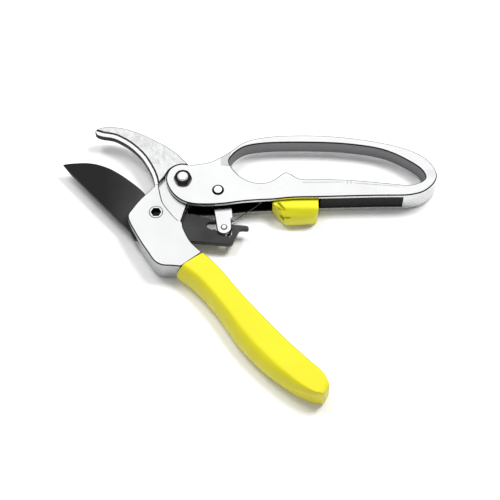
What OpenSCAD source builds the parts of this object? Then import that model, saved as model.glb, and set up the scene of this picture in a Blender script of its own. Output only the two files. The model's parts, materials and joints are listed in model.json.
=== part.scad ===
// Bypass pruner with a ratchet-driven cutting blade.
// The hook and the lower handle are one casting, the curved blade turns on a hex-socket
// bolt and is pushed by a link that hangs inside the channel of the looped upper handle.
// All sizes in millimetres. The tool lies flat: thickness runs along Z.

/* [Handles] */
// Thickness of the upper handle at its lower bar
handle_thickness = 15.2; // [15:0.1:16.4]
// Wall of the upper handle on the nut side
front_cheek = 2.6; // [2.2:0.1:2.8]
// Wall of the upper handle on the bolt-head side
back_cheek = 3.2; // [2.8:0.1:3.4]
// Height of the upper bar of the finger loop, across the thickness
loop_bar_height = 10; // [9:0.5:13]
// Thickness of the dipped grip sleeve
grip_thickness = 15.2; // [15:0.1:16]
// Thickness of the hook casting at its head
head_thickness = 14; // [13.6:0.1:14.4]

/* [Blade] */
// Thickness of the cutting blade and its ratchet plate
blade_thickness = 3; // [2.4:0.1:3]
// Width of the ground bevel behind the cutting edge
bevel_width = 6; // [3:0.5:7]
// Thickness of the hook
hook_thickness = 4.7; // [4.3:0.1:5]
// Width of the bevel along the inside of the hook
hook_bevel = 2.6; // [1:0.1:3.5]

/* [Pins] */
// Diameter of the blade bolt and of the handle bolt
bolt_diameter = 6; // [5:0.1:6.4]
// Width across flats of the handle nut
nut_width = 8.8; // [8.4:0.1:10]
// Diameter of the rivet that carries the link
rivet_diameter = 4; // [3:0.1:5]
// Diameter of the cross pin that engages the ratchet plate
cross_pin_diameter = 3.8; // [3:0.1:3.8]
// Clearance in every turning joint, on the radius
running_clearance = 0.05; // [0.02:0.01:0.08]

/* [Hidden] */

// Everything is drawn around the blade bolt; this moves the tool over its own footprint
centre = [50.85, -26.3];
// Turning points: handle bolt, link rivet, cross pin, link spring pin, slider pin
handle_axis = [14.3, 21];
rivet_axis = [33.8, 13.7];
cross_pin_axis = [37.2, -7.4];
spring_pin_axis = [56.9, 13.7];
slider_pin_axis = [67.7, 13.1];

// Levels across the thickness
head_bottom = (15.2 - head_thickness) / 2;
head_top = head_bottom + head_thickness;
blade_top = 9.1;
blade_bottom = blade_top - blade_thickness;
shim_gap = 0.2;
slot_top = blade_top + shim_gap;
slot_bottom = blade_bottom - shim_gap;
hook_bottom = slot_top;
hook_top = hook_bottom + hook_thickness;
channel_bottom = back_cheek;
channel_top = handle_thickness - front_cheek;
washer_thickness = 0.36;
lug_bottom = channel_bottom + washer_thickness + 0.04;
lug_top = channel_top - washer_thickness - 0.04;
loop_bottom = (handle_thickness - loop_bar_height) / 2;
loop_top = loop_bottom + loop_bar_height;
// How far the loop is thinned, as a fraction, along its right end
loop_ease = [for (t = [0:0.1:1]) [18 + 15 * t, (1 - cos(180 * t)) / 2]];
bolt_radius = bolt_diameter / 2;
bolt_bore = bolt_radius + running_clearance;
rivet_radius = rivet_diameter / 2;
rivet_bore = rivet_radius + running_clearance;
pin_radius = cross_pin_diameter / 2;
bushing_radius = bolt_radius + 1.5;
lug_radius = 9.5;
link_thickness = 1.5;
front_link_bottom = blade_top + 0.3;
back_link_top = blade_bottom - 0.3;
slider_travel = 5.6;
nut_height = 2.2;

// Smooth curves through control points: an open run and a closed loop
function blend_point(a, b, c, d, t) = 0.5 * (2 * b + (c - a) * t
    + (2 * a - 5 * b + 4 * c - d) * t * t + (3 * b - a - 3 * c + d) * t * t * t);
function open_curve(p, n) = concat([for (i = [0 : len(p) - 2]) for (k = [0 : n - 1])
    blend_point(p[max(i - 1, 0)], p[i], p[i + 1], p[min(i + 2, len(p) - 1)], k / n)],
    [p[len(p) - 1]]);
function closed_curve(p, n) = [for (i = [0 : len(p) - 1]) for (k = [0 : n - 1])
    let (m = len(p)) blend_point(p[(i + m - 1) % m], p[i], p[(i + 1) % m], p[(i + 2) % m], k / n)];
function arc(c, r, a0, a1, n) = [for (k = [0 : n])
    let (a = a0 + (a1 - a0) * k / n) [c.x + r * cos(a), c.y + r * sin(a)]];
function side(p, i) = let (d = p[min(i + 1, len(p) - 1)] - p[max(i - 1, 0)])
    [-d.y, d.x] / norm(d);
function mix(a, b, t) = a + (b - a) * t;

module placed() { translate([-centre.x, -centre.y, 0]) children(); }
module slab(points, z0, z1) { translate([0, 0, z0]) linear_extrude(z1 - z0) polygon(points); }
module disc(c, r, z0, z1) { translate([c.x, c.y, z0]) cylinder(r = r, h = z1 - z0, $fn = 64); }
module ring(c, r_out, r_in, z0, z1) {
    difference() {
        disc(c, r_out, z0, z1);
        disc(c, r_in, z0 - 1, z1 + 1);
    }
}
// Wedge along a curve: deepest at the curve, running out at the given width to one side of it
module bevel_cut(p, width, z_edge, z_inner, z_cap) {
    n = len(p);
    outward = -0.6 * sign(width);
    rows = [for (i = [0 : n - 1]) each [
        concat(p[i] + outward * side(p, i), mix(z_edge, z_inner, -0.6 / abs(width))),
        concat(p[i] + width * side(p, i), z_inner),
        concat(p[i] + width * side(p, i), z_cap),
        concat(p[i] + outward * side(p, i), z_cap)]];
    walls = [for (i = [0 : n - 2]) for (k = [0 : 3])
        let (a = 4 * i + k, b = 4 * i + (k + 1) % 4) each [[b, a, a + 4], [b, a + 4, b + 4]]];
    e = 4 * (n - 1);
    polyhedron(rows, concat([[0, 1, 2], [0, 2, 3]], walls, [[e, e + 2, e + 1], [e, e + 3, e + 2]]));
}
// Round wire through a list of points
module wire(points, r) {
    for (i = [0 : len(points) - 2]) {
        d = points[i + 1] - points[i];
        translate(points[i])
            rotate([0, acos(d.z / norm(d)), atan2(d.y, d.x)]) cylinder(r = r, h = norm(d), $fn = 16);
    }
    for (i = [1 : len(points) - 2]) translate(points[i]) sphere(r = r, $fn = 16);
}
// Close-wound coil made of plain rings, axis along Z
module coil(c, radius, wire_radius, turns, z0) {
    for (k = [0 : turns - 1]) translate([c.x, c.y, z0 + wire_radius + k * 1.96 * wire_radius])
        rotate_extrude($fn = 48) translate([radius, 0]) circle(r = wire_radius, $fn = 12);
}

// ---- Outlines ----
head_left = open_curve([[-1.5, 16.4], [-6.2, 11.3], [-9.7, 7.2], [-13.2, 2], [-15.3, -1.9],
    [-14.5, -5.8], [-12.2, -10.6], [-7.2, -19.6], [-3.4, -25.5], [-0.8, -29.6], [1.9, -31.9],
    [5, -33.1], [8.5, -33.2], [14.2, -33.8]], 3);
head_right = open_curve([[25.8, -24.9], [23.9, -23.4], [19.1, -18.2], [15.9, -11.8], [13.7, -5.9],
    [14.5, -1.8], [15.7, 2.6], [17.2, 7], [20.2, 11.6], [23, 16.2]], 3);
head_outline = concat(head_left, head_right, arc(handle_axis, lug_radius, -5, 100, 18),
    [[4, 24]]);
hook_outer = open_curve([[17.6, 29.9], [16.2, 32.2], [10.6, 38.3], [4.5, 43.2], [-2.3, 47.3],
    [-8.5, 50.8], [-16.2, 54], [-22.3, 55.6], [-27.5, 56.1], [-31.8, 55.7], [-35, 54.3],
    [-35.9, 52.8], [-35, 51.2]], 3);
hook_inner = open_curve([[-33.6, 50.5], [-31, 49.7], [-28.2, 49.3], [-25.2, 48.6], [-22.1, 47.1],
    [-17.7, 44.3], [-13.2, 40.3], [-8.8, 35.2], [-4.8, 28.2], [-2.8, 23.4], [-1.8, 19.4],
    [-1.5, 16.4]], 3);
hook_outline = concat(hook_outer, hook_inner, [[4, 14], [14.3, 12]]);
// Recess that lets the cheeks of the upper handle swing past the head
pocket_outline = concat(open_curve([[15, -7.4], [13, -5.9], [9.9, -2.8], [7.7, 0], [5.2, 3.4],
    [3.1, 7.3], [1.8, 12.8], [0.8, 17.9]], 3),
    arc(handle_axis, 10.1, 172, 72, 20), [[40, 33], [40, -7.4]]);
// Slot that the blade turns in, as far as its ratchet plate reaches with the handles closed
slot_outline = [[-40, -17.8], [-13.3, -16], [-2.4, -17.4], [5.2, -22], [13.5, -27.4],
    [22, -33.2], [28.5, -37.4], [34, -40], [44, -40], [70, -20], [70, 60], [-40, 60]];

handle_outline = closed_curve([[24.5, 4.6], [30.5, 4.6], [38, 5.2], [46, 6.4], [54, 7.2], [64, 7.8],
    [75, 9], [89, 9.3], [106, 9.8], [123, 10.2], [136, 10.3], [141.5, 11], [147, 12.8],
    [151.8, 16.6], [154.5, 21], [155.1, 25.5], [153.5, 31], [149.5, 36.3], [142.3, 40.9],
    [134, 44.1], [124, 46.7], [112, 49], [97, 50.8], [82, 51.4], [68, 51], [57.5, 49.7], [51, 48],
    [46, 45.5], [40.5, 40.6], [35, 35.4], [29.5, 32.2], [23.5, 30.9], [18.3, 30.1], [13.5, 30.6],
    [9.2, 29.2], [6.3, 26.2], [5, 21.8], [5.6, 17.8], [8, 12.8], [11.5, 8.8], [15.5, 6.3],
    [19.8, 5]], 3);
finger_opening = closed_curve([[40.2, 31.5], [41.8, 27.5], [45, 23.6], [48.5, 20.9], [52.5, 19.1],
    [56.5, 18.3], [60.8, 18.8], [65.4, 21], [69, 24.2], [71.6, 25.4], [73.9, 24.4], [77, 22.1],
    [80.8, 20.8], [89, 20.9], [98, 20.8], [110, 20.1], [125, 18.5], [134, 17.5], [139.5, 17.1],
    [143.8, 18.2], [147.2, 20], [148.6, 22.8], [147.2, 27.5], [144, 31.3], [137.6, 35.8],
    [131, 39.5], [123, 42.5], [112.5, 44.5], [98.6, 46], [79.4, 46.5], [63.5, 46.2], [53.5, 45.1],
    [47.5, 43.2], [43.2, 40], [40.6, 36.5], [39.7, 34]], 3);
channel_outline = concat([[-5, -5], [180, -50], [136, -5], [136, 15.3], [90, 15.8], [45, 16],
    [41.5, 19.3], [25.2, 19.3]], arc(handle_axis, 10.3, 0, 50, 10), [[20.9, 40], [-5, 40]]);

blade_edge = open_curve([[-53.4, 33.6], [-51.4, 34.3], [-46, 34.9], [-38.4, 34.9], [-30.8, 33],
    [-23.1, 29], [-15.4, 23.2], [-9.2, 17.6], [-6.4, 14.2]], 4);
plate_edge = concat(
    open_curve([[-6.4, 14.2], [-1.5, 12.6], [4, 11.2], [9.6, 7.6], [13, 3.4], [16.4, 1.7],
        [20, 1.9], [26, 0.1], [31.2, -1.6], [38, -3.6], [42, -4.6]], 3),
    open_curve([[42.4, -4.8], [46.5, -5.2], [49.6, -5.6], [50.7, -6.6], [50.2, -7.8], [47, -7.6],
        [45.4, -8.2]], 3),
    open_curve([[45.3, -8.6], [43.4, -12.6], [41.9, -16.2], [40.2, -17.2]], 3));
blade_spine = open_curve([[39.6, -17.2], [23.5, -15.6], [6, -14.2], [-6, -13.9], [-11.8, -13.6],
    [-14.2, -9], [-21.8, -0.7], [-29.6, 7.8], [-37.4, 16.4], [-45.4, 25], [-53.4, 33.6]], 2);
blade_outline = concat(blade_edge, plate_edge, blade_spine);
// Path of the cross pin in the ratchet plate, from open to closed
pin_path = [[37.2, -7.4], [36.3, -6.85], [34.7, -6.15], [33.4, -5.75], [32, -5.45], [31.2, -5.32]];

link_outline = concat(arc(rivet_axis, 5.2, 205, -10, 16),
    open_curve([[40.6, 8.4], [41.5, 4], [42.1, -1.2]], 3), [[41, -2.2]],
    arc(cross_pin_axis, 4.1, -5, -150, 10), [[31.6, 4]]);

// Thumb piece of the lock in plan
slider_outline = concat([[63.8, 8], [63.8, 7.2], [70.6, -1.2], [71.6, -1.9], [72.8, -2]],
    [[84.8, -0.6], [87, -0.1], [88.4, 1], [89, 2.6], [89.2, 8]]);

// Grip stations: inner edge, outer edge, inset of the section at both faces
grip_inner = [[26.4, -25], [35.2, -34.1], [46.3, -48.7], [58.4, -63], [70.4, -76.5],
    [82.2, -88.3], [87.6, -93.4], [91, -98.2], [92.3, -102]];
grip_outer = [[11.6, -35.2], [21.2, -43], [33.3, -57.8], [44.1, -74.9], [56.5, -89.6],
    [70, -100.9], [77, -105.2], [83.6, -108], [88.4, -108.4]];
// Fractions across the grip and height fractions of its cross-section, inner side first
grip_section = [[0.09, 0], [0.02, 0.05], [0, 0.17], [0, 0.8], [0.02, 0.93], [0.09, 1], [0.73, 1],
    [0.79, 0.975], [0.9, 0.8], [0.98, 0.58], [1, 0.4], [0.985, 0.22], [0.93, 0.07], [0.84, 0]];

// ---- Lower handle and what is fixed to it ----
module lower_handle() {
    tang_inner = open_curve(grip_inner, 4);
    tang_outer = open_curve(grip_outer, 4);
    tang = concat([for (i = [0 : 24]) mix(tang_inner[i], tang_outer[i], 0.14)],
        [for (i = [24 : -1 : 0]) mix(tang_inner[i], tang_outer[i], 0.78)]);
    color([0.86, 0.87, 0.88]) placed() difference() {
        union() {
            slab(head_outline, head_bottom, head_top);
            slab(hook_outline, hook_bottom - 1, hook_top);
            slab(concat([[18, -26], [12, -30]], [for (i = [len(tang) - 1 : -1 : 0]) tang[i]]), 3.2, 12);
        }
        bevel_cut(concat([[-38.8, 52.6]], open_curve([for (i = [0 : 11]) hook_inner[3 * i]], 2)),
            hook_bevel, hook_top - 1.5, hook_top + 0.05, hook_top + 1);
        difference() {
            slab(slot_outline, slot_bottom, slot_top);
            disc(handle_axis, lug_radius + 0.4, slot_bottom - 1, slot_top + 1);
        }
        slab(pocket_outline, lug_top, head_top + 1);
        slab(pocket_outline, head_bottom - 1, lug_bottom);
        disc([0, 0], bolt_radius, head_bottom - 1, head_top + 1);
        disc([0, 0], bolt_radius + 0.9, head_top - 2.8, head_top + 1);
        disc([0, 0], bolt_radius + 2, head_bottom - 1, head_bottom + 2.6);
        disc(handle_axis, bushing_radius - 0.3, lug_bottom - 1, lug_top + 1);
        // pocket and openings for the return spring
        disc(handle_axis, 7.2, 7, lug_top + 1);
        slab(concat(arc(handle_axis, 8.8, 118, 173, 6), arc(handle_axis, 5, 173, 118, 3)), 6.9, 8.5);
        slab([[14.4, 14.4], [19.2, 8.3], [30, 8.3], [30, 26], [20, 22.5]], lug_top - 1.3, lug_top + 1);
    }
}

module grip_body() {
    rows_in = open_curve(grip_inner, 3);
    rows_out = open_curve(grip_outer, 3);
    n = len(rows_in);
    m = len(grip_section);
    shrink = [for (i = [0 : n - 1]) i == n - 1 ? 0.12 : i == n - 2 ? 0.04 : 0];
    // the bevel along the outer side runs out towards the end of the grip
    fade = [for (i = [0 : n - 1]) i < 12 ? 1 : mix(1, 0.3, (i - 12) / (n - 13))];
    points = [for (i = [0 : n - 1]) for (s = grip_section)
        let (t = s.x > 0.7 && s.y > 0.39 ? [1, 1] - fade[i] * ([1, 1] - s) : s,
            p = mix(rows_in[i], rows_out[i], t.x))
        [p.x, p.y, grip_thickness * mix(t.y, 0.5, shrink[i])]];
    walls = [for (i = [0 : n - 2]) for (k = [0 : m - 1])
        let (a = m * i + k, b = m * i + (k + 1) % m) [a, b, b + m, a + m]];
    polyhedron(points, concat([[for (k = [m - 1 : -1 : 0]) k]], walls,
        [[for (k = [0 : m - 1]) m * (n - 1) + k]]));
}

module grip_sleeve() {
    inner = open_curve(grip_inner, 4);
    outer = open_curve(grip_outer, 4);
    cavity = concat([mix(inner[0], outer[0], 0.137) + [-0.8, 1]],
        [for (i = [0 : 24]) mix(inner[i], outer[i], 0.137)],
        [for (i = [24 : -1 : 0]) mix(inner[i], outer[i], 0.783)],
        [mix(inner[0], outer[0], 0.783) + [-0.8, 1]]);
    color([0.93, 0.9, 0.12]) placed() difference() {
        grip_body();
        slab(cavity, 3.15, 12.05);
        slab(slot_outline, slot_bottom, slot_top);
    }
}

module blade_bushing() {
    color([0.72, 0.55, 0.3]) placed()
        ring([0, 0], bushing_radius, bolt_radius + 0.02, slot_bottom, slot_top);
}

module blade_bolt() {
    color([0.62, 0.63, 0.65]) placed() difference() {
        union() {
            disc([0, 0], bolt_radius + 0.8, head_top - 2.8, head_top);
            disc([0, 0], bolt_radius, head_bottom + 0.1, head_top - 2.8);
        }
        translate([0, 0, head_top - 2.2]) cylinder(r = 2.6, h = 3, $fn = 6);
    }
}

module blade_nut() {
    color([0.45, 0.46, 0.48]) placed() difference() {
        disc([0, 0], bolt_radius + 1.95, head_bottom + 0.1, head_bottom + 2.6);
        disc([0, 0], bolt_radius, head_bottom - 1, head_bottom + 4);
        for (a = [0, 90]) rotate(a) translate([-6, -0.6, head_bottom - 1]) cube([12, 1.2, 2]);
    }
}

module blade_shims() {
    color([0.7, 0.72, 0.74]) placed() {
        ring([0, 0], 9, bushing_radius + 0.1, slot_bottom + 0.02, blade_bottom - 0.02);
        ring([0, 0], 9, bushing_radius + 0.1, blade_top + 0.02, slot_top - 0.02);
    }
}

module handle_bushing() {
    color([0.72, 0.55, 0.3]) placed()
        ring(handle_axis, bushing_radius - 0.3, bolt_bore, lug_bottom, lug_top);
}

// ---- Upper handle and what is fixed to it ----
module upper_handle() {
    color([0.84, 0.85, 0.86]) placed() difference() {
        slab(handle_outline, 0, handle_thickness);
        slab(finger_opening, -1, handle_thickness + 1);
        slab(channel_outline, channel_bottom, channel_top);
        // the upper bar is thinner: a sloping facet at its left end, a gentle wave at the right
        translate([0, 60, 0]) rotate([90, 0, 0]) linear_extrude(30) {
            polygon([[34, handle_thickness], [41, loop_top], [140, loop_top], [140, 20], [34, 20]]);
            polygon([[34, 0], [41, loop_bottom], [140, loop_bottom], [140, -5], [34, -5]]);
        }
        translate([140, 0, 0]) rotate([90, 0, 90]) linear_extrude(20) {
            polygon(concat([for (p = loop_ease) [p.x, handle_thickness - loop_bottom * p.y]],
                [[61, loop_top], [61, 20], [18, 20]]));
            polygon(concat([for (p = loop_ease) [p.x, loop_bottom * p.y]],
                [[61, loop_bottom], [61, -5], [18, -5]]));
        }
        disc(handle_axis, bolt_radius, -1, handle_thickness + 1);
        translate([handle_axis.x, handle_axis.y, -0.01])
            cylinder(r1 = bolt_radius + 2.5, r2 = bolt_radius, h = 2.6, $fn = 64);
        disc(rivet_axis, rivet_radius, -1, handle_thickness + 1);
        translate([rivet_axis.x, rivet_axis.y, -0.01])
            cylinder(r1 = rivet_radius + 1.6, r2 = rivet_radius, h = 1.8, $fn = 64);
        disc(spring_pin_axis, 0.9, -1, handle_thickness + 1);
        disc(slider_pin_axis, 1.3, -1, handle_thickness + 1);
        for (z = [-0.01, handle_thickness - 0.79])
            disc(slider_pin_axis, 1.8, z, z + 0.8);
        // decorative lines on the nut side
        slab([[80.5, 18.7], [103, 19], [103, 18.6], [80.5, 18.3]], handle_thickness - 0.3, 20);
        slab([[109, 18.3], [134, 16.2], [134, 15.8], [109, 17.9]], handle_thickness - 0.3, 20);
        for (x = [105, 107]) slab([[x, 17.8], [x + 0.5, 17.8], [x + 0.5, 19.2], [x, 19.2]],
            handle_thickness - 0.3, 20);
        disc([135.6, 15.8], 0.6, handle_thickness - 0.3, 20);
    }
}

module channel_filler() {
    color([0.1, 0.1, 0.1]) placed() slab([[90.3, 9.7], [106, 10.2], [123, 10.6], [135.8, 10.7],
        [135.8, 15.1], [90.3, 15.6]], channel_bottom + 0.1, channel_top - 0.1);
}

module handle_bolt() {
    shank = handle_thickness + nut_height - 2.1;
    color([0.7, 0.71, 0.72]) placed() translate([handle_axis.x, handle_axis.y, 0]) {
        difference() {
            translate([0, 0, 0.1]) cylinder(r1 = bolt_radius + 2.3, r2 = bolt_radius, h = 2.4, $fn = 64);
            translate([0, 0, -1]) cylinder(r = 2, h = 2.6, $fn = 6);
        }
        translate([0, 0, 2.4]) {
            cylinder(r = bolt_radius, h = shank, $fn = 64);
            translate([0, 0, shank]) cylinder(r1 = bolt_radius, r2 = bolt_radius - 0.5, h = 0.5, $fn = 64);
        }
    }
}

module handle_nut() {
    color([0.16, 0.16, 0.17]) placed() translate([handle_axis.x, handle_axis.y, handle_thickness])
        difference() {
            intersection() {
                cylinder(r = nut_width / 2 / cos(30), h = nut_height, $fn = 6);
                cylinder(r1 = nut_width / 2 + 1.8, r2 = nut_width / 2 - 0.1, h = nut_height, $fn = 64);
            }
            translate([0, 0, -1]) cylinder(r = bolt_radius, h = 6, $fn = 64);
        }
}

module handle_washers() {
    color([0.72, 0.74, 0.76]) placed() {
        ring(handle_axis, 4.6, bolt_radius, channel_bottom, channel_bottom + washer_thickness);
        ring(handle_axis, 4.6, bolt_radius, channel_top - washer_thickness, channel_top);
    }
}

module return_spring() {
    z_top = lug_top - 0.6;
    color([0.6, 0.61, 0.63]) placed() {
        coil(handle_axis, 5.85, 0.5, 4, 7.1);
        wire([[16, 15.4, z_top], [27.2, 18.75, z_top]], 0.5);
        wire([[handle_axis.x - 5.85 * cos(14), handle_axis.y + 5.85 * sin(14), 7.6],
            [handle_axis.x - 8.3 * cos(14), handle_axis.y + 8.3 * sin(14), 7.6]], 0.5);
        wire([[16, 15.4, 10.5], [16, 15.4, z_top]], 0.5);
        translate([16, 15.4, z_top]) sphere(r = 0.5, $fn = 16);
    }
}

module pawl_rivet() {
    color([0.8, 0.81, 0.82]) placed() translate([rivet_axis.x, rivet_axis.y, 0]) {
        translate([0, 0, 0.1]) cylinder(r1 = rivet_radius + 1.5, r2 = rivet_radius, h = 1.6, $fn = 64);
        translate([0, 0, 1.6]) cylinder(r = rivet_radius, h = handle_thickness - 1.6, $fn = 64);
        translate([0, 0, handle_thickness]) intersection() {
            cylinder(r = rivet_radius + 1.4, h = 1.1, $fn = 64);
            translate([0, 0, -4.7]) sphere(r = 5.8, $fn = 64);
        }
    }
}

module pawl_front_washer() {
    color([0.72, 0.74, 0.76]) placed() ring(rivet_axis, 3.4, rivet_radius,
        front_link_bottom + link_thickness + 0.05, channel_top);
}

module pawl_back_washer() {
    color([0.72, 0.74, 0.76]) placed() ring(rivet_axis, 3.4, rivet_radius,
        channel_bottom, back_link_top - link_thickness - 0.05);
}

module spring_pin() {
    color([0.66, 0.67, 0.69]) placed() disc(spring_pin_axis, 0.9, 0.1, handle_thickness - 0.1);
}

module pawl_spring() {
    z_leg = channel_bottom + 0.55;
    color([0.74, 0.75, 0.77]) placed() {
        coil(spring_pin_axis, 1.7, 0.35, 8, channel_bottom + 0.2);
        wire([[58.1, 12.46, z_leg], [40.9, -0.75, z_leg]], 0.35);
        wire([[56.9, 15.4, channel_bottom + 5.2], [62.6, 15.4, channel_bottom + 5.2]], 0.35);
    }
}

module slider_pin() {
    color([0.75, 0.76, 0.78]) placed() {
        disc(slider_pin_axis, 1.3, 0.05, handle_thickness - 0.05);
        disc(slider_pin_axis, 1.8, 0.05, 0.75);
        disc(slider_pin_axis, 1.8, handle_thickness - 0.75, handle_thickness - 0.05);
    }
}

// ---- Cutting blade with its ratchet plate ----
module cutting_blade() {
    color([0.13, 0.13, 0.14]) placed() difference() {
        slab(blade_outline, blade_bottom, blade_top);
        disc([0, 0], bushing_radius + running_clearance, blade_bottom - 1, blade_top + 1);
        // ratchet window: the pin's track, three seats along its lower side and end clearances
        for (i = [0 : len(pin_path) - 1]) disc(pin_path[i], pin_radius + 0.3, 0, 12);
        for (i = [0 : len(pin_path) - 2]) {
            d = pin_path[i + 1] - pin_path[i];
            translate([pin_path[i].x, pin_path[i].y, 0]) rotate(atan2(d.y, d.x))
                translate([0, -pin_radius - 0.2, 0]) cube([norm(d), 2 * pin_radius + 0.4, 12]);
        }
        disc([34.2, -6.6], pin_radius + 0.3, 0, 12);
        disc([30.9, -5.9], pin_radius + 0.2, 0, 12);
        disc([29.6, -5.2], 2.1, 0, 12);
        slab([[37.5, -9.4], [38.2, -12.4], [40.2, -12.8], [41.6, -10.8], [41.4, -7.2], [39, -6.2]], 0, 12);
        bevel_cut([for (i = [0 : 4 : len(blade_edge) - 2]) blade_edge[i]], -bevel_width,
            blade_top - 0.3, blade_bottom, blade_bottom - 1);
    }
}

// ---- Link that pushes the ratchet plate ----
module link(z) {
    difference() {
        slab(link_outline, z, z + link_thickness);
        disc(rivet_axis, rivet_bore, z - 1, z + 3);
        disc(cross_pin_axis, pin_radius - 0.4, z - 1, z + 3);
    }
}

module pawl_front_link() { color([0.78, 0.79, 0.8]) placed() link(front_link_bottom); }

module pawl_back_link() {
    color([0.76, 0.77, 0.78]) placed() {
        link(back_link_top - link_thickness);
        disc([40.6, 0.9], 0.6, channel_bottom + 0.15, back_link_top - link_thickness);
    }
}

module pawl_spacer() {
    color([0.7, 0.71, 0.73]) placed() ring(rivet_axis, 3.4, rivet_bore, back_link_top, front_link_bottom);
}

module pawl_pin() {
    color([0.68, 0.69, 0.71]) placed() {
        disc(cross_pin_axis, pin_radius, back_link_top, front_link_bottom);
        disc(cross_pin_axis, pin_radius - 0.4, back_link_top - link_thickness - 0.3,
            front_link_bottom + link_thickness + 0.4);
    }
}

// ---- Lock ----
module lock_slider() {
    color([0.95, 0.92, 0.15]) placed() difference() {
        union() {
            intersection() {
                translate([63.8, 0, 0]) rotate([90, 0, 90]) linear_extrude(25.4)
                    polygon([[7.5, 12.3], [6.9, 12.3], [6.9, 13.9], [3.6, 13.9], [2.2, 13.2],
                        [-0.2, 10], [-1.9, 6], [-1.7, 3], [-0.4, 1.6], [6.9, 1.5], [6.9, 3.5],
                        [7.5, 3.5]]);
                slab(slider_outline, 0, handle_thickness);
            }
            slab([[64.8, 7], [89, 7], [89, 14.8], [64.8, 14.8]], channel_bottom + 0.1, channel_top - 0.1);
        }
        // slot for the guide pin
        for (x = [0, slider_travel]) disc(slider_pin_axis + [x, 0], 1.4, 0, 16);
        translate([slider_pin_axis.x, slider_pin_axis.y - 1.4, 0]) cube([slider_travel, 2.8, 16]);
        // pocket that takes the lip of the ratchet plate
        slab([[60, -0.7], [73.8, -0.7], [73.8, 2.8], [60, 2.8]], slot_bottom - 0.2, slot_top + 0.2);
        // groove behind the thumb edge
        slab([[66, 7.2], [70.3, 1.6], [71.4, 2.2], [67.6, 7.2]], slot_top + 1.4, 20);
        slab([[66, 7.2], [70.3, 1.6], [69, 0], [60, 0], [60, 7.2]], 12.6, 20);
    }
}

lower_handle();
grip_sleeve();
blade_bushing();
blade_bolt();
blade_nut();
blade_shims();
handle_bushing();
upper_handle();
channel_filler();
handle_bolt();
handle_nut();
handle_washers();
return_spring();
pawl_rivet();
pawl_front_washer();
pawl_back_washer();
spring_pin();
pawl_spring();
slider_pin();
cutting_blade();
pawl_front_link();
pawl_back_link();
pawl_spacer();
pawl_pin();
lock_slider();
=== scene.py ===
import bpy
import bmesh
import json
import math
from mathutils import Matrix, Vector

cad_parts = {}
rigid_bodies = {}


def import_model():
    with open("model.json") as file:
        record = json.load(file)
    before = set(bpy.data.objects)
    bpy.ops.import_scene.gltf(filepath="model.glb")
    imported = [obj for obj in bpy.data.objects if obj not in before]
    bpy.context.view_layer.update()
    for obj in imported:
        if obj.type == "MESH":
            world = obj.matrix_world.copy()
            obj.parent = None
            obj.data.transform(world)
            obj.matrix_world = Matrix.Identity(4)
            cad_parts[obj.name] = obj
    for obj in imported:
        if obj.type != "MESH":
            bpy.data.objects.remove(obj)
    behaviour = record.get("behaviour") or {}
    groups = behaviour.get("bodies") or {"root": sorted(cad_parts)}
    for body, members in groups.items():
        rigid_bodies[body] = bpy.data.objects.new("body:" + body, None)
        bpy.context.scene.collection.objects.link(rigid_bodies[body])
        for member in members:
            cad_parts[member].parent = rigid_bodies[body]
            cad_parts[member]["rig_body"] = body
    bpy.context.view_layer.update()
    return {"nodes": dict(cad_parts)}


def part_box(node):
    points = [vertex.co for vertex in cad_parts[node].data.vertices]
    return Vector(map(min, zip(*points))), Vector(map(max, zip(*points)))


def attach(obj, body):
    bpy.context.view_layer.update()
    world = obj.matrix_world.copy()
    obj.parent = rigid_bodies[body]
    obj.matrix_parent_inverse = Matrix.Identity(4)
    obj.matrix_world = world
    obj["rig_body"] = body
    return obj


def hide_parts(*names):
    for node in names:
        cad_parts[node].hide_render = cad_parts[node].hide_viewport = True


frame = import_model()

MM = 0.001
# Plan position of the blade bolt in the row frame: outlines below are drawn around it
BOLT = Vector(((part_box("blade_bolt")[0].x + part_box("blade_bolt")[1].x) / 2,
               (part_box("blade_bolt")[0].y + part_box("blade_bolt")[1].y) / 2, 0))

# View of the tool: height above the table in degrees, distance and lens
CAMERA_ELEVATION = 61
CAMERA_DISTANCE = 0.88
CAMERA_LENS = 115.2
VIEW_CENTRE = (51.4, -15.7)

# The sky's brightest direction, and its (darkest, middle) greys for plain light and for reflections
SKY_PEAK = (-0.1, 0.55, 0.83)
PLAIN_SKY, MIRRORED_SKY = (0.05, 0.35), (0.5, 0.62)
SKY_STRENGTH = 1.06
# Lamp: place, disk size, power
LAMPS = {"key_left": ((-0.27, 0.33, 0.8), 0.34, 3), "key_right": ((0.34, 0.26, 0.75), 0.3, 5.2),
         "front": ((-0.2, -0.9, 0.35), 0.5, 1.5)}


# ---------------------------------------------------------------- camera, light, floor
def camera():
    elevation = math.radians(CAMERA_ELEVATION)
    target = BOLT + Vector((*VIEW_CENTRE, 0)) * MM
    cam = bpy.data.objects.new("camera", bpy.data.cameras.new("camera"))
    cam.data.lens = CAMERA_LENS
    cam.data.sensor_width = 36
    cam.data.clip_start = 0.05
    direction = Vector((0, -math.cos(elevation), math.sin(elevation)))
    cam.location = target + direction * CAMERA_DISTANCE
    cam.rotation_euler = (-direction).to_track_quat("-Z", "Y").to_euler()
    bpy.context.scene.collection.objects.link(cam)
    bpy.context.scene.camera = cam


def area_light(name, location, size, energy):
    """A soft lamp aimed at the middle of the tool, left out of reflections."""
    data = bpy.data.lights.new(name, "AREA")
    data.shape = "DISK"
    data.size = size
    data.energy = energy
    lamp = bpy.data.objects.new(name, data)
    lamp.location = location
    lamp.rotation_euler = (-Vector(location)).to_track_quat("-Z", "Y").to_euler()
    lamp.visible_glossy = False
    bpy.context.scene.collection.objects.link(lamp)


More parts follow.
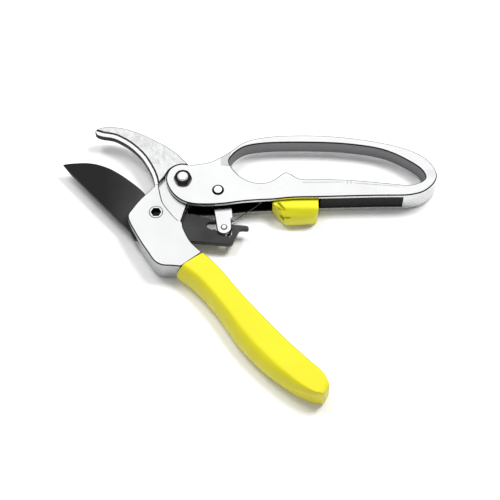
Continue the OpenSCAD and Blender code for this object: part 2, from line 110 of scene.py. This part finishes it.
def studio():
    """Sky that is brightest above and behind the tool, lifted where metal mirrors it; soft lamps."""
    world = bpy.data.worlds.new("studio")
    bpy.context.scene.world = world
    world.use_nodes = True
    nt = world.node_tree
    bg = nt.nodes["Background"]
    coord = nt.nodes.new("ShaderNodeTexCoord")
    dot = nt.nodes.new("ShaderNodeVectorMath")
    dot.operation = "DOT_PRODUCT"
    dot.inputs[1].default_value = Vector(SKY_PEAK).normalized()
    nt.links.new(coord.outputs["Generated"], dot.inputs[0])
    skies = []
    for dark, middle in (PLAIN_SKY, MIRRORED_SKY):
        ramp = nt.nodes.new("ShaderNodeValToRGB")
        nt.links.new(dot.outputs["Value"], ramp.inputs[0])
        e = ramp.color_ramp.elements
        e[0].position, e[0].color = 0.4, (dark, dark, dark * 1.03, 1)
        e[1].position, e[1].color = 0.92, (1, 1, 1, 1)
        mid = e.new(0.74)
        mid.color = (middle, middle, middle * 1.02, 1)
        skies.append(ramp.outputs[0])
    path = nt.nodes.new("ShaderNodeLightPath")
    nt.links.new(mix_color(nt, path.outputs["Is Glossy Ray"], *skies), bg.inputs["Color"])
    bg.inputs["Strength"].default_value = SKY_STRENGTH
    for name, (location, size, energy) in LAMPS.items():
        area_light(name, location, size, energy)
    bpy.context.scene.view_settings.view_transform = "Standard"


def floor():
    bm = bmesh.new()
    bmesh.ops.create_grid(bm, x_segments=1, y_segments=1, size=3)
    mesh = bpy.data.meshes.new("floor")
    bm.to_mesh(mesh)
    obj = bpy.data.objects.new("floor", mesh)
    obj.location.z = -0.0001
    bpy.context.scene.collection.objects.link(obj)
    mat = bpy.data.materials.new("floor")
    mat.use_nodes = True
    b = mat.node_tree.nodes["Principled BSDF"]
    b.inputs["Base Color"].default_value = (0.95, 0.95, 0.95, 1)
    b.inputs["Roughness"].default_value = 0.9
    b.inputs["Specular IOR Level"].default_value = 0.1
    b.inputs["Emission Color"].default_value = (1, 1, 1, 1)
    b.inputs["Emission Strength"].default_value = 0.06
    mesh.materials.append(mat)


# ---------------------------------------------------------------- materials
def new_material(name):
    mat = bpy.data.materials.new(name)
    mat.use_nodes = True
    return mat, mat.node_tree, mat.node_tree.nodes["Principled BSDF"]


def noise(nt, scale, detail=4, rough=0.5, stretch=None, distortion=0):
    coord = nt.nodes.new("ShaderNodeTexCoord")
    src = coord.outputs["Object"]
    if stretch:
        mapping = nt.nodes.new("ShaderNodeMapping")
        mapping.inputs["Scale"].default_value = stretch
        nt.links.new(src, mapping.inputs[0])
        src = mapping.outputs[0]
    tex = nt.nodes.new("ShaderNodeTexNoise")
    tex.inputs["Scale"].default_value = scale
    tex.inputs["Detail"].default_value = detail
    tex.inputs["Roughness"].default_value = rough
    tex.inputs["Distortion"].default_value = distortion
    nt.links.new(src, tex.inputs["Vector"])
    return tex.outputs["Fac"]


def remap(nt, src, low, high, start=0.3, end=0.7):
    """Takes the range start to end of a socket to low to high."""
    node = nt.nodes.new("ShaderNodeMapRange")
    node.inputs["From Min"].default_value = start
    node.inputs["From Max"].default_value = end
    node.inputs["To Min"].default_value = low
    node.inputs["To Max"].default_value = high
    nt.links.new(src, node.inputs["Value"])
    return node.outputs["Result"]


def remap_between(nt, fac, a, b):
    """From the socket a at 0 to the number b at 1."""
    node = nt.nodes.new("ShaderNodeMix")
    nt.links.new(fac, node.inputs["Factor"])
    nt.links.new(a, node.inputs["A"])
    node.inputs["B"].default_value = b
    return node.outputs["Result"]


def product(nt, a, b):
    node = nt.nodes.new("ShaderNodeMath")
    node.operation = "MULTIPLY"
    nt.links.new(a, node.inputs[0])
    nt.links.new(b, node.inputs[1])
    return node.outputs[0]


def mix_color(nt, fac, c1, c2):
    node = nt.nodes.new("ShaderNodeMix")
    node.data_type = "RGBA"
    nt.links.new(fac, node.inputs["Factor"])
    for sock, c in ((node.inputs["A"], c1), (node.inputs["B"], c2)):
        if hasattr(c, "links"):
            nt.links.new(c, sock)
        else:
            sock.default_value = (*c, 1)
    return node.outputs["Result"]


def bump(nt, shader, height, strength, distance):
    node = nt.nodes.new("ShaderNodeBump")
    node.inputs["Strength"].default_value = strength
    node.inputs["Distance"].default_value = distance
    nt.links.new(height, node.inputs["Height"])
    nt.links.new(node.outputs[0], shader.inputs["Normal"])


def attribute(nt, name):
    node = nt.nodes.new("ShaderNodeAttribute")
    node.attribute_name = name
    return node.outputs["Fac"]


def metal(name, color, rough, metallic=1.0, grain=(1, 1, 1), grain_scale=900, dirt=0.06,
          bump_amount=0.06, grain_depth=0.2, wall_finish_and_shade=None, wall_rough=0.5, specular=0.5, edge=None,
          matte_highlight=None, painted_gradient=None):
    """A finish with tone and roughness variation; "wall", "edge" and "matte" are face attributes.
    fade is (axis, start, end, far color, whether it is patchy), in row-frame metres."""
    mat, nt, b = new_material(name)
    b.inputs["Metallic"].default_value = metallic
    b.inputs["Specular IOR Level"].default_value = specular
    fine = noise(nt, grain_scale, detail=5, rough=0.6, stretch=grain)
    broad = noise(nt, 45, detail=3)
    dark = tuple(c * (1 - dirt) for c in color)
    light = tuple(min(1, c * (1 + dirt * 0.4)) for c in color)
    tone = mix_color(nt, remap(nt, broad, 0, 1), dark, light)
    # Painted light as a gradient along one axis, in patches when patchy: a reflection on the blade, shade on
    # the hook.
    if painted_gradient:
        coord = nt.nodes.new("ShaderNodeTexCoord")
        split = nt.nodes.new("ShaderNodeSeparateXYZ")
        nt.links.new(coord.outputs["Object"], split.inputs[0])
        axis, start, end, far, patchy = painted_gradient
        mask = remap(nt, split.outputs[axis], 0, 1, start, end)
        if patchy:
            cloud = noise(nt, 330, detail=8, rough=0.75, stretch=(1, 0.6, 1), distortion=0.5)
            mask = product(nt, mask, remap(nt, cloud, 0, 1, start=0.42, end=0.64))
        tone = mix_color(nt, mask, tone, far)
    roughness = remap(nt, fine, rough * (1 - grain_depth), rough * (1 + grain_depth))
    # Painted shade: marked upright faces turn to a darker colour, and also to a rougher as-cast finish.
    if wall_finish_and_shade:
        mask = attribute(nt, "wall_finish_and_shade")
        tone = mix_color(nt, mask, tone, wall_finish_and_shade)
        roughness = remap_between(nt, mask, roughness, wall_rough)
    # Painted highlight: marked faces turn near-white and non-metal, so they stay bright whatever they
    # mirror.
    if matte_highlight:
        mask = attribute(nt, "matte_highlight")
        tone = mix_color(nt, mask, tone, matte_highlight)
        nt.links.new(remap(nt, mask, metallic, 0, 0, 1), b.inputs["Metallic"])
        roughness = remap_between(nt, mask, roughness, 0.5)
    # Painted dark reflection and shade: rounded edges and marked recesses take this dark colour.
    if edge:
        tone = mix_color(nt, attribute(nt, "edge"), tone, edge)
    nt.links.new(tone, b.inputs["Base Color"])
    nt.links.new(roughness, b.inputs["Roughness"])
    bump(nt, b, fine, bump_amount, 0.0001)
    return mat


MATERIALS = {}


def make_materials():
    m = MATERIALS
    # Per material, the dark colour for rounded edges and recesses is painted dark reflection and shade, the
    # colour for upright faces is painted shade, and the near-white non-metal colour is a painted highlight.
    m["polished"] = metal("polished_aluminium", (0.9, 0.905, 0.91), rough=0.22, metallic=0.9,
                          grain=(1, 6, 1), grain_scale=500, dirt=0.05,
                          wall_finish_and_shade=(0.165, 0.165, 0.17), wall_rough=0.45, edge=(0.025, 0.025, 0.027))
    # The casting's patchy darker grey past y 0.045 to 0.06, over the hook, is painted shade.
    m["cast"] = metal("cast_aluminium", (0.88, 0.885, 0.89), rough=0.26, metallic=0.9,
                      grain_scale=700, dirt=0.07, bump_amount=0.01, grain_depth=0.04,
                      wall_finish_and_shade=(0.25, 0.255, 0.26), edge=(0.02, 0.02, 0.022), matte_highlight=(0.95, 0.95, 0.95),
                      painted_gradient=("Y", 0.045, 0.06, (0.66, 0.665, 0.67), True))
    m["steel"] = metal("plated_steel", (0.5, 0.51, 0.52), rough=0.3, edge=(0.05, 0.05, 0.05))
    m["spring_wire"] = metal("spring_wire", (0.16, 0.16, 0.17), rough=0.35, metallic=0.9)
    m["dark_steel"] = metal("blackened_steel", (0.008, 0.008, 0.009), rough=0.3, metallic=0,
                            specular=0.15)
    m["bright"] = metal("bright_plate", (0.92, 0.92, 0.93), rough=0.15,
                        edge=(0.015, 0.015, 0.015), matte_highlight=(0.9, 0.9, 0.9))
    m["bronze"] = metal("bronze", (0.65, 0.45, 0.22), rough=0.35)
    # The coating's gradient to near black towards the left is a painted reflection.
    m["coating"] = metal("black_coating", (0.05, 0.05, 0.051), rough=0.4, metallic=0,
                         grain_scale=800, dirt=0.5, specular=0.12, edge=(0.003, 0.003, 0.003),
                         painted_gradient=("X", -0.055, -0.08, (0.012, 0.012, 0.013), False))
    m["black_plastic"] = metal("black_plastic", (0.01, 0.01, 0.011), rough=0.5, metallic=0,
                               grain_scale=600, dirt=0.2, bump_amount=0.1, specular=0.15)
    # The vinyl's olive colour on the grip's inner top rounding is painted shade.
    m["vinyl"] = metal("yellow_vinyl", (0.78, 0.715, 0.02), rough=0.38, metallic=0,
                       grain_scale=350, dirt=0.05, bump_amount=0.12, specular=0.4,
                       edge=(0.4, 0.37, 0.01))
    m["yellow_plastic"] = metal("yellow_plastic", (0.78, 0.745, 0.02), rough=0.32, metallic=0,
                                grain_scale=500, dirt=0.05, bump_amount=0.08, specular=0.4)


def dress(obj, mat):
    obj.data.materials.clear()
    obj.data.materials.append(MATERIALS[mat])


# ---------------------------------------------------------------- pieces from the frame
def inside(x, y, outline):
    """Whether a plan point lies inside a closed outline."""
    hit = False
    for (ax, ay), (bx, by) in zip(outline, outline[1:] + outline[:1]):
        if (ay > y) != (by > y) and x < ax + (y - ay) * (bx - ax) / (by - ay):
            hit = not hit
    return hit


def near(point, centre, radius):
    return math.hypot(point.x - centre.x, point.y - centre.y) < radius * MM


def make_object(name, bm, mat, body, nodes, sharp=50):
    """Turns a mesh into a finished piece that rides on its body and stands for its CAD nodes."""
    mesh = bpy.data.meshes.new(name)
    bm.to_mesh(mesh)
    bm.free()
    mesh.set_sharp_from_angle(angle=math.radians(sharp))
    obj = bpy.data.objects.new(name, mesh)
    bpy.context.scene.collection.objects.link(obj)
    obj.modifiers.new("normals", "WEIGHTED_NORMAL").keep_sharp = True
    dress(obj, mat)
    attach(obj, body)
    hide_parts(*nodes)
    return obj


def round_edges(bm, width, segments, angle, keep_crisp):
    """Rounds the crisp edges and marks the rounded strips with the face attribute "edge", for painted dark
    reflection.
    """
    mark = bm.faces.layers.float["edge"]
    crisp = [e for e in bm.edges if e.is_manifold and e.calc_face_angle_signed(0) > math.radians(angle)
             and not (keep_crisp and keep_crisp((e.verts[0].co + e.verts[1].co) / 2))]
    bmesh.ops.bevel(bm, geom=crisp, offset=width * MM, offset_type="OFFSET", segments=segments,
                    profile=0.5, affect="EDGES", clamp_overlap=False, material=1)
    for f in bm.faces:
        if f.material_index == 1:
            f[mark] = 1.0
            f.material_index = 0
        f.smooth = True


def from_cad(node, mat, width=0.35, segments=2, angle=30, tone=None, keep_crisp=None):
    """A finished copy of a CAD node: flat faces made whole, crisp edges rounded and marked.
    tone(centre, normal) gives a face's three marks: painted shade on upright faces, painted dark reflection
    and shade, and a painted highlight."""
    flat = math.radians(0.6)
    src = frame["nodes"][node]
    bm = bmesh.new()
    bm.from_mesh(src.data)
    bmesh.ops.remove_doubles(bm, verts=bm.verts, dist=2e-6)
    bmesh.ops.dissolve_limit(bm, angle_limit=flat, verts=bm.verts, edges=bm.edges)
    bmesh.ops.remove_doubles(bm, verts=bm.verts, dist=0.05 * MM)
    bmesh.ops.dissolve_limit(bm, angle_limit=flat, verts=bm.verts, edges=bm.edges)
    bm.normal_update()
    marks = [bm.faces.layers.float.new(name) for name in ("wall_finish_and_shade", "edge", "matte_highlight")]
    if tone:
        for f in bm.faces:
            for mark, value in zip(marks, tone(f.calc_center_median(), f.normal)):
                f[mark] = value
    round_edges(bm, width, segments, angle, keep_crisp)
    return make_object(node + "_finished", bm, mat, src["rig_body"], [node])


def plan(points, grow=0):
    """Outline given around the blade bolt in mm, as row-frame metres."""
    cx = sum(p[0] for p in points) / len(points)
    cy = sum(p[1] for p in points) / len(points)
    out = []
    for x, y in points:
        d = math.hypot(x - cx, y - cy)
        out.append((BOLT.x + (x + (x - cx) / d * grow) * MM, BOLT.y + (y + (y - cy) / d * grow) * MM))
    return out


FINGER_OPENING = [(40.2, 31.5), (41.8, 27.5), (45, 23.6), (48.5, 20.9), (52.5, 19.1), (56.5, 18.3),
                  (60.8, 18.8), (65.4, 21), (69, 24.2), (71.6, 25.4), (73.9, 24.4), (77, 22.1),
                  (80.8, 20.8), (89, 20.9), (98, 20.8), (110, 20.1), (125, 18.5), (134, 17.5),
                  (139.5, 17.1), (143.8, 18.2), (147.2, 20), (148.6, 22.8), (147.2, 27.5), (144, 31.3),
                  (137.6, 35.8), (131, 39.5), (123, 42.5), (112.5, 44.5), (98.6, 46), (79.4, 46.5),
                  (63.5, 46.2), (53.5, 45.1), (47.5, 43.2), (43.2, 40), (40.6, 36.5), (39.7, 34)]
# The finger loop's outline and the channel's height and outline mark where the upper handle takes painted
# shade.
INSIDE_LOOP = plan(FINGER_OPENING, 0.8)
RIVET_AXIS = BOLT + Vector((33.8, 13.7, 0)) * MM
CHANNEL = (3.1 * MM, 12.7 * MM)
IN_CHANNEL = plan([(3, 3), (136.2, 3), (136.2, 15.6), (90, 16.2), (45, 16.6), (41.5, 19.8), (26, 20),
                   (26, 29.5), (5, 27)])


def upper_handle_painted_shade(c, n):
    """Painted shade: dark walls inside the finger loop, a black channel inside and slightly darkened other
    walls.
    """
    upright = abs(n.z) < 0.7
    if inside(c.x, c.y, INSIDE_LOOP):
        return (1.0 if upright else 0.0), 0.0, 0.0
    # Painted shade in the channel: its inside faces take the dark colour.
    if CHANNEL[0] < c.z < CHANNEL[1] and inside(c.x, c.y, IN_CHANNEL):
        return 0.0, 1.0, 0.0
    return (0.25 if upright else 0.0), 0.0, 0.0


def engraved(p):
    """The fine lines and small holes on the nut side of the upper handle."""
    x, y = (p.x - BOLT.x) / MM, (p.y - BOLT.y) / MM
    line = 79 < x < 137 and 15 < y < min(19.4, 19.3 - (x - 109) * 0.1)
    return p.z > 14.8 * MM and (line or (54 < x < 71 and 10.5 < y < 16))


def lower_handle_painted_light(c, n):
    """Painted shade on the upright sides, darker painted shade on the hook's inner side and a painted
    highlight along the hook's inner bevel.
    """
    upright = abs(n.z) < 0.6
    hook_wall_shade = upright and c.y > BOLT.y + 15 * MM and c.x < BOLT.x + 2 * MM and n.x + n.y < 0.1
    hook_bevel_highlight = 0.6 < n.z < 0.97 and c.y > BOLT.y + 14 * MM and c.z > 9 * MM
    return (0.6 if upright else 0.0), (1.0 if hook_wall_shade else 0.0), (1.0 if hook_bevel_highlight else 0.0)


def blade_bolt_painted_shade(c, n):
    """Painted shade in the hexagon socket."""
    socket = near(c, BOLT, 2.6) and 8 * MM < c.z < 14.4 * MM
    return 0.0, (1.0 if socket else 0.0), 0.0


def bolt_end_painted_highlight(c, n):
    # Painted highlight: the bolt's end is near-white and non-metal all over.
    return 0.0, 0.0, 0.8


def rivet_painted_light(c, n):
    """Painted shade on the rim round a near-white, non-metal dome that is a painted highlight."""
    rim = c.z > 15 * MM and not near(c, RIVET_AXIS, 2.2)
    return 0.0, (1.0 if rim else 0.0), (0.0 if rim else 0.8)


# Corners of the casting with edges too short to round: x, y around the blade bolt and reach
TIGHT_CORNERS = [(0, 0, 6), (23, 16.2, 1.2), (18.3, 8.85, 0.7), (13.85, -6.6, 0.7),
                 (-1.2, 16.3, 1.3)]


def casting_crisp(p):
    """The bolt's seat, corners too tight to round, and the end of the blade slot."""
    slot_end = near(p, BOLT + Vector((-9.8, -15, 0)) * MM, 3) and 5 * MM < p.z < 10 * MM
    return slot_end or any(near(p, BOLT + Vector((x, y, 0)) * MM, reach) for x, y, reach in TIGHT_CORNERS)


def slider_cuts(p):
    """The part inside the channel, the groove behind the slider's thumb edge and the pocket."""
    x, y, z = (p.x - BOLT.x) / MM, (p.y - BOLT.y) / MM, p.z / MM
    groove = x < 72.2 and -0.5 < y < 7.4 and z > 12.2
    pocket = x < 74.2 and -1.6 < y < 3.4 and 4 < z < 11
    in_channel = y > 6.7
    return groove or pocket or in_channel or (x < 66 and y > 5.5)


# ---------------------------------------------------------------- pieces built here
def catmull(points, n):
    """Smooth open curve through control points, n steps to each span."""
    out = []
    last = len(points) - 1
    for i in range(last):
        a, b, c, d = (Vector(points[k]) for k in (max(i - 1, 0), i, i + 1, min(i + 2, last)))
        for k in range(n):
            t = k / n
            out.append(0.5 * (2 * b + (c - a) * t + (2 * a - 5 * b + 4 * c - d) * t * t
                              + (3 * b - a - 3 * c + d) * t * t * t))
    return out + [Vector(points[last])]


def new_bmesh():
    bm = bmesh.new()
    bm.faces.layers.float.new("wall_finish_and_shade")
    bm.faces.layers.float.new("edge")
    return bm


def bridge(bm, low, high, marks=None):
    """Quads between two rings of vertices; marks gives the "edge" value of each, its share of painted shade.
    """
    edge = bm.faces.layers.float["edge"]
    n = len(low)
    for k in range(n):
        f = bm.faces.new((low[k], low[(k + 1) % n], high[(k + 1) % n], high[k]))
        f.smooth = True
        f[edge] = marks[k] if marks else 0.0


GRIP_INNER = [(26.4, -25), (35.2, -34.1), (46.3, -48.7), (58.4, -63), (70.4, -76.5), (82.2, -88.3),
              (87.6, -93.4), (91, -98.2), (92.3, -102)]
GRIP_OUTER = [(11.6, -35.2), (21.2, -43), (33.3, -57.8), (44.1, -74.9), (56.5, -89.6), (70, -100.9),
              (77, -105.2), (83.6, -108), (88.4, -108.4)]
# Fractions across the grip and of its height, from the inner bottom edge round over the top;
# None stands for the depth of the slot that takes the ratchet plate
GRIP_SECTION = [(0.09, 0), (0.03, 0.03), (0.005, 0.1), (0, 0.25), (0, 0.386), (None, 0.388),
                (None, 0.612), (0, 0.614), (0, 0.75), (0.005, 0.9), (0.025, 0.96), (0.055, 0.985),
                (0.12, 1), (0.4, 1.006), (0.66, 1), (0.72, 0.992), (0.77, 0.965), (0.84, 0.88),
                (0.91, 0.77), (0.97, 0.62), (0.995, 0.5), (1, 0.4), (0.99, 0.24), (0.95, 0.1),
                (0.88, 0.02), (0.8, 0)]
GRIP_HEIGHT = 15.2
SLOT_LOW, SLOT_HIGH = 0.38, 0.62
# Depth of the slot across the grip at each section from the head on
SLOT_DEPTHS = [0.62, 0.6, 0.58, 0.56, 0.54, 0.52, 0.46, 0.34, 0.15, 0.02]
# Strips of the section along its inner top edge that take painted shade in the dark edge colour, and how
# strongly
SHADED_CREASE_STRIPS, CREASE_SHADE_MARK = (9, 10), 0.8
# The outer bevel fades from full at this section to this share of itself at the end
BEVEL_FADE_START, BEVEL_AT_END = 20, 0.28
# How far each end section draws in, as a share, and stands out, in mm
COLLAR = ((0.14, 3), (0.1, 0.2), (0.04, 0), (0.01, 0.25))
END_CAP = ((0.04, 0.35), (0.12, 0.7), (0.3, 0.95), (0.6, 1.05))
CAP_DIRECTION = Vector((0.75, -0.66))


def grip_ring(bm, inner, outer, bevel, squeeze=0, inset=0, push=None, slot=0):
    """One cross-section of the grip; the outer bevel shrinks towards its corner with bevel < 1.
    squeeze lowers it about its middle, inset draws it in all round, and neither moves the slot."""
    ring = []
    for x, y in GRIP_SECTION:
        x = slot if x is None else x
        if x > 0.7 and y > 0.39:
            x, y = 1 - bevel * (1 - x), 1 - bevel * (1 - y)
        x = 0.5 + (x - 0.5) * (1 - inset)
        if not SLOT_LOW < y < SLOT_HIGH:
            y = 0.5 + (y - 0.5) * (1 - max(squeeze, inset))
        p = inner.lerp(outer, x)
        if push:
            p = p + push
        ring.append(bm.verts.new((BOLT.x + p.x * MM, BOLT.y + p.y * MM, GRIP_HEIGHT * y * MM)))
    return ring


def grip_sleeve():
    bm = new_bmesh()
    inner, outer = catmull(GRIP_INNER, 5), catmull(GRIP_OUTER, 5)
    last = len(inner) - 1
    marks = [CREASE_SHADE_MARK if k in SHADED_CREASE_STRIPS else 0.0 for k in range(len(GRIP_SECTION))]
    along = (inner[1] - inner[0]).normalized()
    rings = [grip_ring(bm, inner[0], outer[0], 1, inset=inset, push=along * push, slot=SLOT_DEPTHS[0])
             for inset, push in COLLAR]
    for i in range(1, last + 1):
        faded = max(0, i - BEVEL_FADE_START) / (last - BEVEL_FADE_START)
        bevel = 1 - (1 - BEVEL_AT_END) * faded
        rings.append(grip_ring(bm, inner[i], outer[i], bevel, squeeze=0.03 * max(0, i - last + 2),
                               slot=SLOT_DEPTHS[i] if i < len(SLOT_DEPTHS) else 0))
    for inset, push in END_CAP:
        rings.append(grip_ring(bm, inner[last], outer[last], BEVEL_AT_END, inset=inset,
                               push=CAP_DIRECTION * push))
    for low, high in zip(rings, rings[1:]):
        bridge(bm, high, low, marks)
    bm.faces.new(rings[-1])
    bmesh.ops.recalc_face_normals(bm, faces=bm.faces)
    make_object("grip_sleeve_dipped", bm, "vinyl", "lower_handle", ["grip_sleeve"], 80)


# Plan centres of the handle bolt and the spring pin around the blade bolt
HANDLE_AXIS = (14.3, 21)
SPRING_PIN = (56.9, 13.7)


def tube(bm, path, radius, sides=10):
    """Round wire swept along a list of points given in mm around the blade bolt."""
    path = [BOLT + Vector(p) * MM for p in path]
    up, rings = None, []
    for i, p in enumerate(path):
        d = (path[min(i + 1, len(path) - 1)] - path[max(i - 1, 0)]).normalized()
        up = d.orthogonal() if up is None else up - d * up.dot(d)
        up.normalize()
        side = d.cross(up)
        turn = [2 * math.pi * k / sides for k in range(sides)]
        rings.append([bm.verts.new(p + (up * math.cos(t) + side * math.sin(t)) * radius * MM) for t in turn])
    for low, high in zip(rings, rings[1:]):
        bridge(bm, low, high)
    bm.faces.new(list(reversed(rings[0])))
    bm.faces.new(rings[-1])


def helix(centre, radius, a0, a1, z0, z1, steps):
    """Points of a coil from angle a0 to a1 in degrees and from height z0 to z1."""
    out = []
    for k in range(steps + 1):
        t = k / steps
        a = math.radians(a0 + (a1 - a0) * t)
        out.append((centre[0] + radius * math.cos(a), centre[1] + radius * math.sin(a), z0 + (z1 - z0) * t))
    return out


def return_spring():
    """Torsion spring round the handle bolt: a short leg on the head's side, a long one in the handle."""
    bm = new_bmesh()
    x, y = HANDLE_AXIS
    start, sweep = 166, 841
    leg = [(x + r * math.cos(math.radians(start)), y + r * math.sin(math.radians(start)), 7.6)
           for r in (8.3, 7.2, 6.3)]
    tube(bm, leg + helix((x, y), 5.85, start, start + sweep, 7.65, 10.6, 110)
         + [(16.4, 15.4, 10.9), (17.1, 15.6, 11.4), (18.2, 16, 11.6), (27.2, 18.75, 11.6)], 0.5)
    make_object("return_spring_coil", bm, "spring_wire", "upper_handle", ["return_spring"])


def pawl_spring():
    """Wire wound five and a part turns round the spring pin, with its long leg down to the link."""
    bm = new_bmesh()
    start, part_turn = 90, 224
    tube(bm, [(62.6, 15.4, 8.4), (59, 15.4, 8.4)]
         + helix(SPRING_PIN, 1.7, start, start + part_turn + 360 * 5, 8.4, 3.8, 140)
         + [(57.2, 12, 3.75), (55, 10.1, 3.75), (40.9, -0.75, 3.75)], 0.35, 8)
    make_object("pawl_spring_coil", bm, "spring_wire", "upper_handle", ["pawl_spring"])


# Pieces that keep their CAD mesh and only take a finish
PLAIN_PIECES = {"bronze": ("blade_bushing", "handle_bushing"), "bright": ("spring_pin", "slider_pin"),
                "steel": ("blade_shims", "handle_washers", "pawl_front_washer", "pawl_back_washer",
                          "pawl_spacer", "blade_nut")}


def dress_frame():
    for mat, nodes in PLAIN_PIECES.items():
        for node in nodes:
            dress(frame["nodes"][node], mat)


camera()
studio()
floor()
make_materials()
dress_frame()
from_cad("lower_handle", "cast", width=0.55, angle=22, tone=lower_handle_painted_light, keep_crisp=casting_crisp)
from_cad("upper_handle", "polished", width=0.6, tone=upper_handle_painted_shade, keep_crisp=engraved)
# The blade's edge land is 0.4 mm wide: a wider rounding would run past the blade's face
from_cad("cutting_blade", "coating", width=0.15)
grip_sleeve()
return_spring()
pawl_spring()
from_cad("lock_slider", "yellow_plastic", width=0.6, segments=3, keep_crisp=slider_cuts)
from_cad("channel_filler", "black_plastic", width=0.2)
from_cad("pawl_front_link", "bright", width=0.3)
from_cad("pawl_back_link", "bright", width=0.2)
from_cad("handle_nut", "dark_steel", width=0.25)
from_cad("handle_bolt", "bright", width=0.12, tone=bolt_end_painted_highlight)
from_cad("blade_bolt", "bright", tone=blade_bolt_painted_shade)
from_cad("pawl_rivet", "bright", width=0.15, tone=rivet_painted_light)
from_cad("pawl_pin", "bright", width=0.25)
